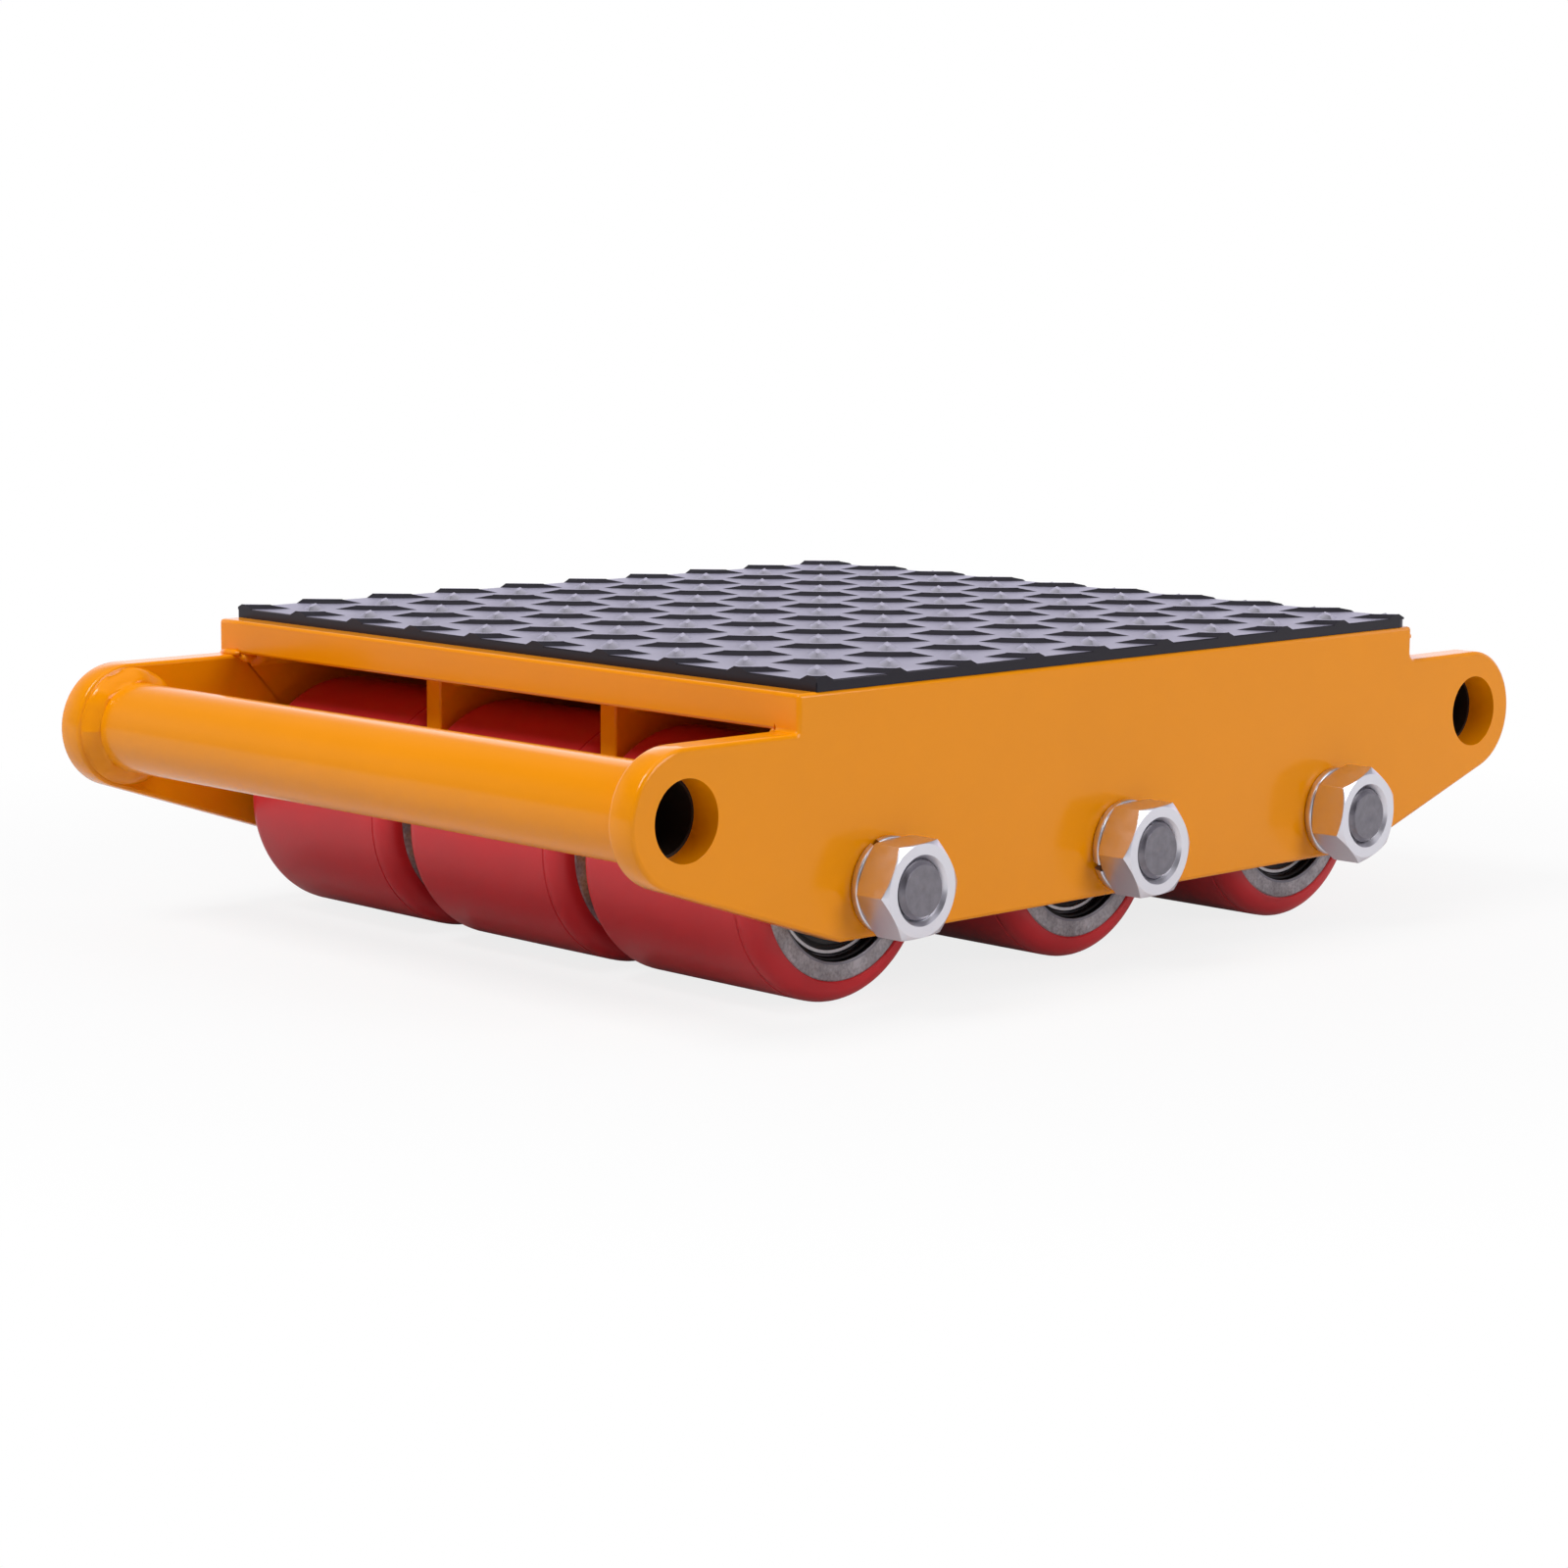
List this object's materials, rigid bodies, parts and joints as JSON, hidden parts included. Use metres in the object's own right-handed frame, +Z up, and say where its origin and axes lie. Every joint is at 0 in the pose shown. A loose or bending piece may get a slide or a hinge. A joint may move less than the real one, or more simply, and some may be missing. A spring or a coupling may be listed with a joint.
{
  "type": "machine skate",
  "caption": "Low welded steel skate with a rubber tread mat on its deck, cross tubes front and rear, and rows of urethane rollers on bolted axles.",
  "frame": {"origin": "on the floor under the middle of the skate, midway between the side plates and on the middle axle", "axes": "+X along the axles towards the side with the nuts, +Y along the travel away from the front tube, +Z up"},
  "size_m": [0.336, 0.4456, 0.1105],
  "materials": {
    "orange_paint": "gloss",
    "black_rubber": "matte",
    "zinc_steel": "satin",
    "turned_steel": "satin",
    "bearing_steel": "polished",
    "red_urethane": "satin",
    "cast_core_steel": "rough",
    "black_spring_steel": "satin"
  },
  "bodies": {
    "frame": {"deck_plate": "orange_paint", "rubber_mat": "black_rubber", "side_plate_left": "orange_paint", "side_plate_right": "orange_paint", "divider_left": "orange_paint", "divider_right": "orange_paint", "front_tube": "orange_paint", "rear_tube": "orange_paint", "tube_welds": "orange_paint", "frame_welds": "orange_paint", "axle_bolt_front": "zinc_steel", "axle_bolt_middle": "zinc_steel", "axle_bolt_rear": "zinc_steel", "axle_nuts": "zinc_steel", "spring_washers": "zinc_steel", "head_washers": "zinc_steel", "hub_spacers": "turned_steel", "side_spacers": "turned_steel", "inner_rings": "bearing_steel", "bearing_balls": "bearing_steel"},
    "roller_front_left": {"tyre_front_left": "red_urethane", "core_front_left": "cast_core_steel", "bearings_front_left": "bearing_steel", "snap_rings_front_left": "black_spring_steel"},
    "roller_front_centre": {"tyre_front_centre": "red_urethane", "core_front_centre": "cast_core_steel", "bearings_front_centre": "bearing_steel", "snap_rings_front_centre": "black_spring_steel"},
    "roller_front_right": {"tyre_front_right": "red_urethane", "core_front_right": "cast_core_steel", "bearings_front_right": "bearing_steel", "snap_rings_front_right": "black_spring_steel"},
    "roller_middle_left": {"tyre_middle_left": "red_urethane", "core_middle_left": "cast_core_steel", "bearings_middle_left": "bearing_steel", "snap_rings_middle_left": "black_spring_steel"},
    "roller_middle_centre": {"tyre_middle_centre": "red_urethane", "core_middle_centre": "cast_core_steel", "bearings_middle_centre": "bearing_steel", "snap_rings_middle_centre": "black_spring_steel"},
    "roller_middle_right": {"tyre_middle_right": "red_urethane", "core_middle_right": "cast_core_steel", "bearings_middle_right": "bearing_steel", "snap_rings_middle_right": "black_spring_steel"},
    "roller_rear_left": {"tyre_rear_left": "red_urethane", "core_rear_left": "cast_core_steel", "bearings_rear_left": "bearing_steel", "snap_rings_rear_left": "black_spring_steel"},
    "roller_rear_centre": {"tyre_rear_centre": "red_urethane", "core_rear_centre": "cast_core_steel", "bearings_rear_centre": "bearing_steel", "snap_rings_rear_centre": "black_spring_steel"},
    "roller_rear_right": {"tyre_rear_right": "red_urethane", "core_rear_right": "cast_core_steel", "bearings_rear_right": "bearing_steel", "snap_rings_rear_right": "black_spring_steel"}
  },
  "joints": [
    {"name": "spin_front_left", "type": "hinge", "parent": "frame", "child": "roller_front_left", "pos_m": [-0.0915, -0.115, 0.0415], "axis": [1, 0, 0], "continuous": true},
    {"name": "spin_front_centre", "type": "hinge", "parent": "frame", "child": "roller_front_centre", "pos_m": [0, -0.115, 0.0415], "axis": [1, 0, 0], "continuous": true},
    {"name": "spin_front_right", "type": "hinge", "parent": "frame", "child": "roller_front_right", "pos_m": [0.0915, -0.115, 0.0415], "axis": [1, 0, 0], "continuous": true},
    {"name": "spin_middle_left", "type": "hinge", "parent": "frame", "child": "roller_middle_left", "pos_m": [-0.0915, 0, 0.0415], "axis": [1, 0, 0], "continuous": true},
    {"name": "spin_middle_centre", "type": "hinge", "parent": "frame", "child": "roller_middle_centre", "pos_m": [0, 0, 0.0415], "axis": [1, 0, 0], "continuous": true},
    {"name": "spin_middle_right", "type": "hinge", "parent": "frame", "child": "roller_middle_right", "pos_m": [0.0915, 0, 0.0415], "axis": [1, 0, 0], "continuous": true},
    {"name": "spin_rear_left", "type": "hinge", "parent": "frame", "child": "roller_rear_left", "pos_m": [-0.0915, 0.115, 0.0415], "axis": [1, 0, 0], "continuous": true},
    {"name": "spin_rear_centre", "type": "hinge", "parent": "frame", "child": "roller_rear_centre", "pos_m": [0, 0.115, 0.0415], "axis": [1, 0, 0], "continuous": true},
    {"name": "spin_rear_right", "type": "hinge", "parent": "frame", "child": "roller_rear_right", "pos_m": [0.0915, 0.115, 0.0415], "axis": [1, 0, 0], "continuous": true}
  ]
}
